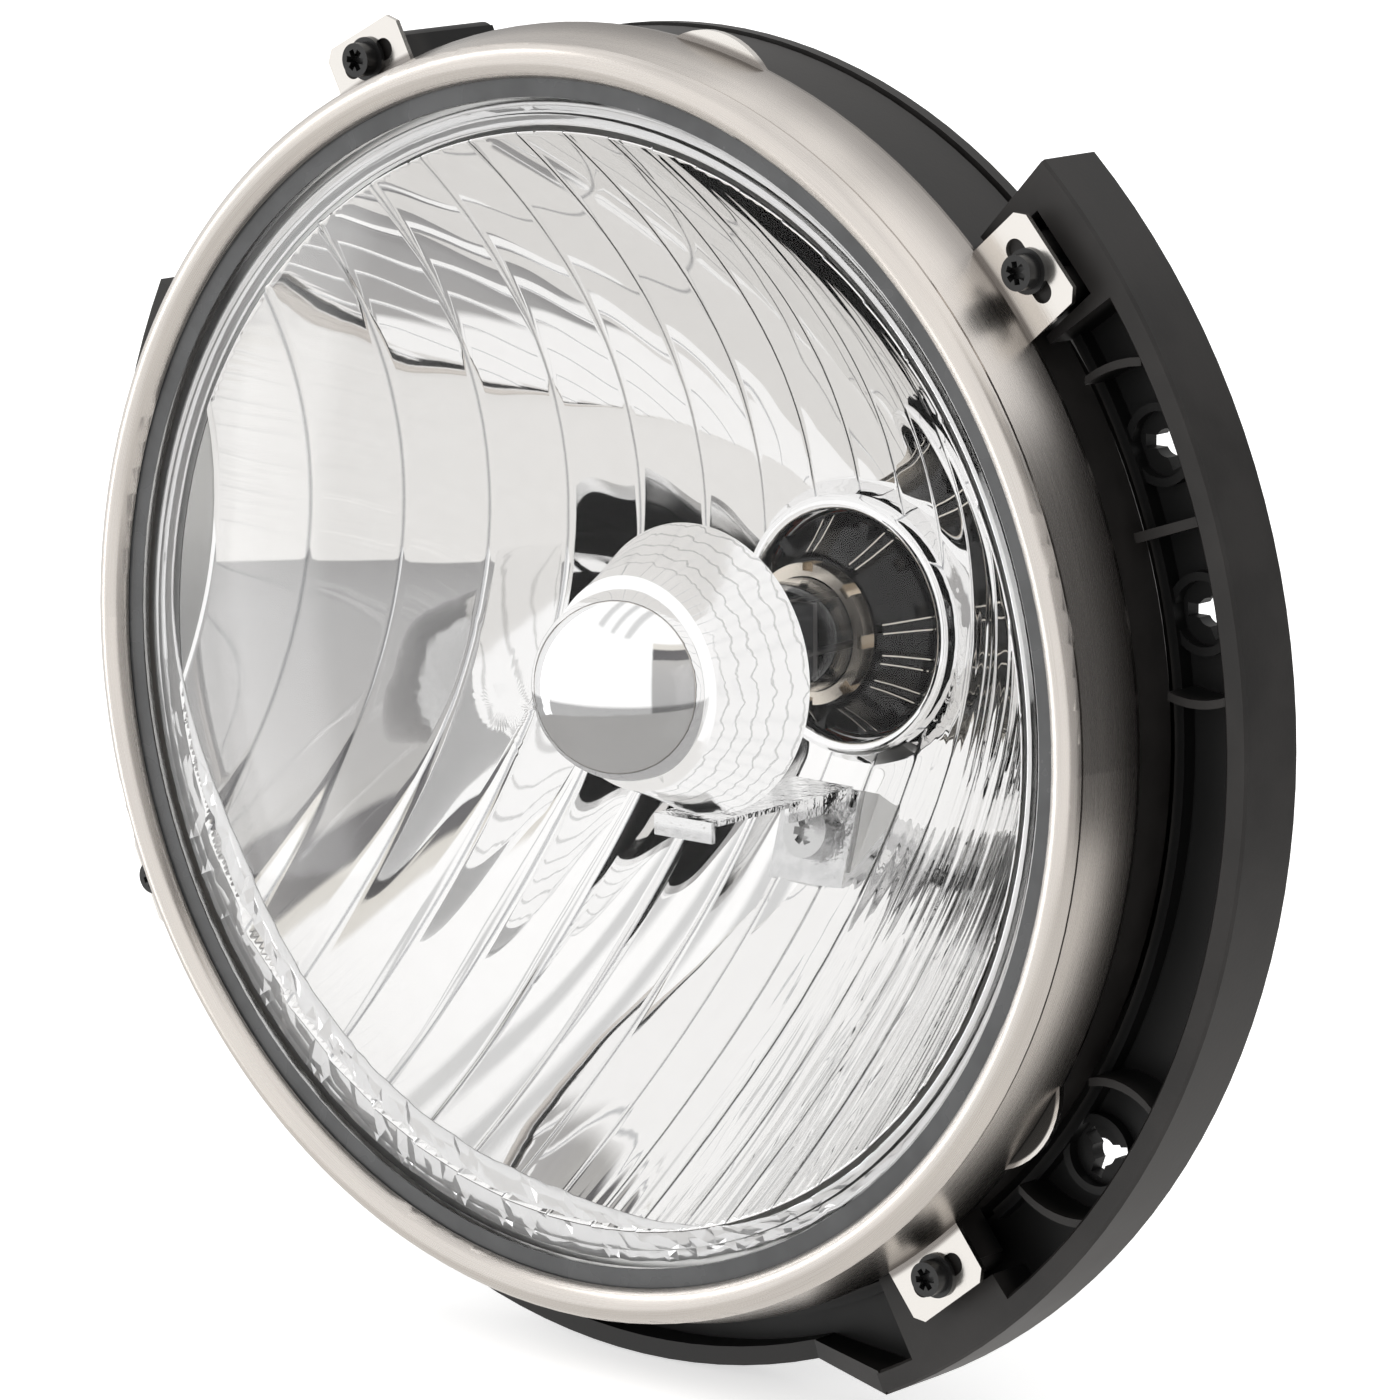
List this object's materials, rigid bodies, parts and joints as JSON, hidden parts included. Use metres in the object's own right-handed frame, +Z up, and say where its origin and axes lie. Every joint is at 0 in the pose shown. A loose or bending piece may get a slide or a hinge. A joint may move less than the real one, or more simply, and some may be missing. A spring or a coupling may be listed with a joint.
{
  "type": "car headlight assembly",
  "caption": "Round clear-lens car headlamp in a steel clamping ring, carried by a black bucket that tilts in a winged wall bracket with a screw adjuster and a quarter-turn bulb.",
  "frame": {"origin": "centre of the bracket's four bolt holes, on the back plate's rear face, on the lamp axis", "axes": "+Z up, -Y the way the lamp shines, +X to the right of a viewer in front"},
  "size_m": [0.22, 0.1244, 0.1975],
  "materials": {
    "black_plastic": "fine-grained moulded black",
    "black_plastic_smooth": "smooth black",
    "grey_plastic": "satin grey",
    "white_nylon": "natural nylon",
    "stainless": "brushed stainless sheet",
    "black_screw": "black coated steel",
    "zinc_screw": "zinc plated",
    "gasket_rubber": "dark grey rubber",
    "seal_rubber": "silicone rubber",
    "clear_lens": "clear",
    "mirror_coat": "vacuum metallised",
    "shield_chrome": "bright chrome",
    "bulb_glass": "clear quartz",
    "bulb_metal": "bright steel",
    "bulb_plastic": "black moulded",
    "filament": "drawn wire",
    "terminal_brass": "tin washed brass"
  },
  "bodies": {
    "bracket": {"mounting_bracket": "black_plastic", "adjuster_housing": "black_plastic_smooth", "adjuster_retainer": "grey_plastic", "housing_screws": "zinc_screw", "pivot_pin_left": "zinc_screw", "pivot_pin_right": "zinc_screw"},
    "lamp": {"lamp_bucket": "black_plastic", "adjuster_socket": "white_nylon", "pivot_bushing_left": "white_nylon", "pivot_bushing_right": "white_nylon", "retaining_ring": "stainless", "ring_screws": "black_screw", "lens_gasket": "gasket_rubber", "lens": "clear_lens", "reflector": "mirror_coat", "reflector_collar": "mirror_coat", "vent_cap": "gasket_rubber", "bulb_shield": "shield_chrome", "shield_strap": "shield_chrome", "shield_screw": "shield_chrome"},
    "adjuster_rod": {"adjuster_rod": "zinc_screw"},
    "adjuster_knob": {"adjuster_knob": "grey_plastic"},
    "bulb": {"bulb_glass": "bulb_glass", "bulb_collar": "bulb_metal", "bulb_base": "bulb_plastic", "bulb_seal": "seal_rubber", "filament_low": "filament", "filament_high": "filament", "filament_frame": "filament", "bulb_terminal_left": "terminal_brass", "bulb_terminal_middle": "terminal_brass", "bulb_terminal_right": "terminal_brass"}
  },
  "joints": [
    {"name": "aim_tilt", "type": "hinge", "parent": "bracket", "child": "lamp", "pos_m": [0, 0.0035, 0], "axis": [1, 0, 0], "range_deg": [-2, 2]},
    {"name": "rod_slide", "type": "slide", "parent": "bracket", "child": "adjuster_rod", "axis": [0, 1, 0], "range_m": [-0.0027, 0.0027]},
    {"name": "knob_turn", "type": "hinge", "parent": "bracket", "child": "adjuster_knob", "pos_m": [0, 0.0315, -0.074], "axis": [0, 1, 0], "range_deg": [-640, 640]},
    {"name": "bulb_twist", "type": "hinge", "parent": "lamp", "child": "bulb", "pos_m": [0, 0.0345, 0], "axis": [0, 1, 0], "range_deg": [0, 30]}
  ],
  "couplings": [
    {"joint": "rod_slide", "follows": "aim_tilt", "m_per_rad": 0.074},
    {"joint": "knob_turn", "follows": "aim_tilt", "ratio": -309.97}
  ]
}
